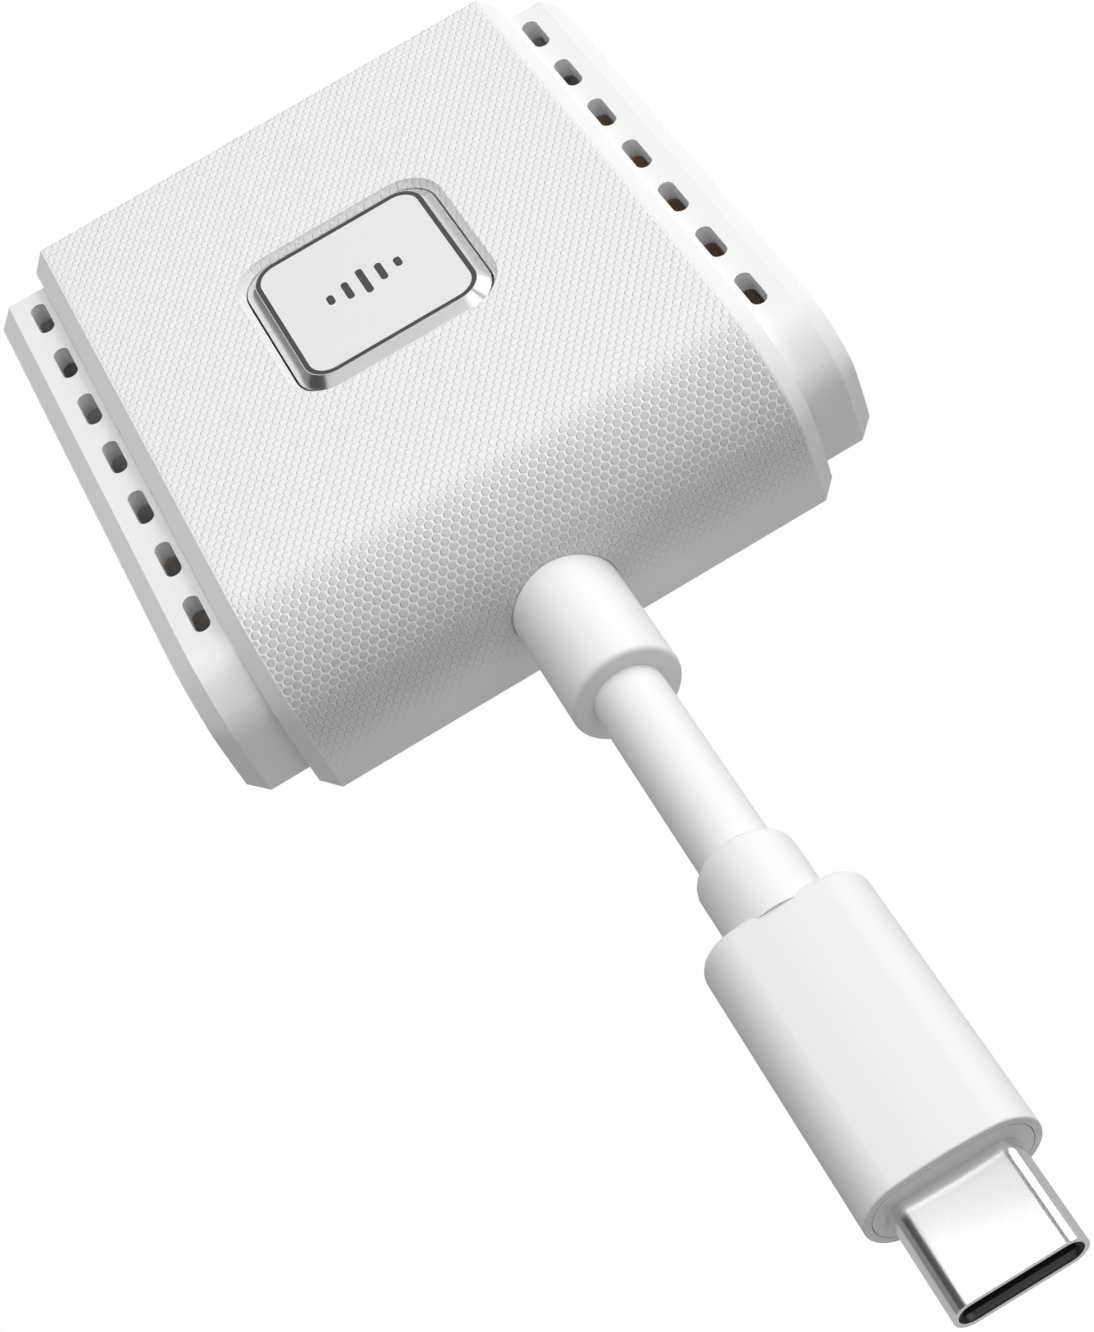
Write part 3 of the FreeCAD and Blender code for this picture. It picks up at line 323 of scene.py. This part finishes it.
finishes = {
    # colour, metallic, roughness, grain scale, grain depth in metres, coat
    "texturedSleeve": ((0.83, 0.83, 0.825), 0, 0.42, 5000, 1.5e-6, 0.0),
    "smoothCap": ((0.83, 0.83, 0.825), 0, 0.38, 6000, 1.0e-6, 0.0),
    "buttonFace": ((0.77, 0.77, 0.77), 0, 0.33, 8000, 0.6e-6, 0.2),
    "polishedRim": ((0.86, 0.86, 0.87), 1, 0.22, 9000, 0.1e-6, 0.0),
    "darkInk": ((0.055, 0.055, 0.058), 0, 0.45, 6000, 1.0e-6, 0.0),
    "leadRubber": ((0.84, 0.84, 0.835), 0, 0.55, 5000, 1.5e-6, 0.0),
    "plugPlastic": ((0.81, 0.81, 0.805), 0, 0.55, 6000, 1.0e-6, 0.0),
    "plugFacePlastic": ((0.80, 0.80, 0.80), 0, 0.42, 6000, 1.0e-6, 0.0),
    "plugNickel": ((0.86, 0.86, 0.87), 1, 0.20, 9000, 0.15e-6, 0.0),
    "socketBlack": ((0.012, 0.012, 0.013), 0, 0.5, 6000, 1.0e-6, 0.0),
    "goldPlate": ((0.95, 0.75, 0.36), 1, 0.25, 9000, 0.5e-6, 0.0),
    "darkPlastic": ((0.05, 0.05, 0.052), 0, 0.5, 5000, 1.5e-6, 0.0),
    "solderMask": ((0.02, 0.10, 0.05), 0, 0.35, 3000, 1.5e-6, 0.3),
    "chipEpoxy": ((0.025, 0.025, 0.028), 0, 0.55, 5000, 1.5e-6, 0.0),
    "tinPlate": ((0.75, 0.75, 0.75), 1, 0.35, 4000, 1.0e-6, 0.0),
    "plainAluminium": ((0.78, 0.78, 0.79), 1, 0.38, 4000, 1.0e-6, 0.0),
    "zincSteel": ((0.55, 0.55, 0.56), 1, 0.35, 4000, 1.0e-6, 0.0),
    "softPad": ((0.35, 0.42, 0.50), 0, 0.8, 3000, 3.0e-6, 0.0),
    "bareCopper": ((0.85, 0.50, 0.33), 1, 0.32, 4000, 1.0e-6, 0.0),
}


def makeMaterial(name):
    colour, metallic, roughness, grainScale, grainDepth, coat = finishes[name]
    material = bpy.data.materials.new(name)
    material.use_nodes = True
    nodes, links = material.node_tree.nodes, material.node_tree.links
    shader = nodes["Principled BSDF"]
    shader.inputs["Base Color"].default_value = (*colour, 1)
    shader.inputs["Metallic"].default_value = metallic
    shader.inputs["Coat Weight"].default_value = coat
    grain = nodes.new("ShaderNodeGroup")
    grain.node_tree = groups["fineGrain"]
    grain.inputs["Scale"].default_value = grainScale
    grain.inputs["Roughness"].default_value = roughness
    bump = nodes.new("ShaderNodeBump")
    bump.inputs["Distance"].default_value = grainDepth
    links.new(grain.outputs["Height"], bump.inputs["Height"])
    links.new(grain.outputs["Roughness"], shader.inputs["Roughness"])
    links.new(bump.outputs["Normal"], shader.inputs["Normal"])
    return material


materials = {name: makeMaterial(name) for name in finishes}


def addScales():
    # the sleeve's moulded scales lie under its fine grain
    tree = materials["texturedSleeve"].node_tree
    grainBump = tree.nodes["Bump"]
    pattern = tree.nodes.new("ShaderNodeGroup")
    pattern.node_tree = groups["scalePattern"]
    bump = tree.nodes.new("ShaderNodeBump")
    bump.inputs["Distance"].default_value = scaleTexture["depth"]
    tree.links.new(pattern.outputs["Height"], bump.inputs["Height"])
    tree.links.new(bump.outputs["Normal"], grainBump.inputs["Normal"])


addScales()

nodeFinish = {
    "sleeve": "texturedSleeve",
    "left_end_cap": "smoothCap",
    "right_end_cap": "smoothCap",
    "chassis_tray": "darkPlastic",
    "main_board": "solderMask",
    "board_screws": "zincSteel",
    "shield_frame": "tinPlate",
    "shield_lid": "tinPlate",
    "radio_chip": "chipEpoxy",
    "crystal": "tinPlate",
    "processor_chip": "chipEpoxy",
    "flash_chip": "chipEpoxy",
    "thermal_pad": "softPad",
    "heat_spreader": "plainAluminium",
    "capacitors": "plainAluminium",
    "inductor": "chipEpoxy",
    "antenna_left": "bareCopper",
    "antenna_right": "bareCopper",
    "switch_body": "darkPlastic",
    "switch_cover": "zincSteel",
    "switch_stem": "darkPlastic",
    "button_carrier": "darkPlastic",
    "button_frame": "polishedRim",
    "button_ring": "darkInk",
    "button_plate": "buttonFace",
    "button_glyph": "darkInk",
    "cable_clamp": "darkPlastic",
    "clamp_screws": "zincSteel",
    "strain_relief": "leadRubber",
    "cable_braid": "tinPlate",
    "core_wires": "bareCopper",
    "plug_boot": "leadRubber",
    "plug_overmold": "plugPlastic",
    "plug_face": "plugFacePlastic",
    "plug_shell": "plugNickel",
    "plug_insulator": "socketBlack",
    "contact_pins": "goldPlate",
    "latch_springs": "tinPlate",
    "plug_board": "solderMask",
    "plug_chip": "chipEpoxy",
}


def dressNodes():
    for node, finish in nodeFinish.items():
        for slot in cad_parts[node].material_slots:
            slot.material = materials[finish]


dressNodes()
print("stage: materials")

lead = {
    "height": 0.00525,
    "exit": -0.025,
    "run": (-0.0172, -0.025, -0.033, -0.041, -0.049, -0.05671),
    "diameter": 0.00496,
    "fineness": 12,        # steps along each span and round a quarter
}


def drawLead():
    curve = bpy.data.curves.new("cable", "CURVE")
    curve.dimensions = "3D"
    spline = curve.splines.new("NURBS")
    spline.points.add(len(lead["run"]) - 1)
    for point, y in zip(spline.points, lead["run"]):
        point.co = (0, y, lead["height"], 1)
    spline.order_u = 3
    spline.use_endpoint_u = True
    spline.resolution_u = lead["fineness"]
    curve.bevel_depth = lead["diameter"] / 2
    curve.bevel_resolution = lead["fineness"]
    curve.use_fill_caps = True
    curve.materials.append(materials["leadRubber"])
    return curve


def addLead():
    bpy.ops.object.select_all(action="DESELECT")
    cable = bpy.data.objects.new("cable", drawLead())
    bpy.context.collection.objects.link(cable)
    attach(cable, "case")
    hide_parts("cable_jacket")


addLead()
print("stage: lead")
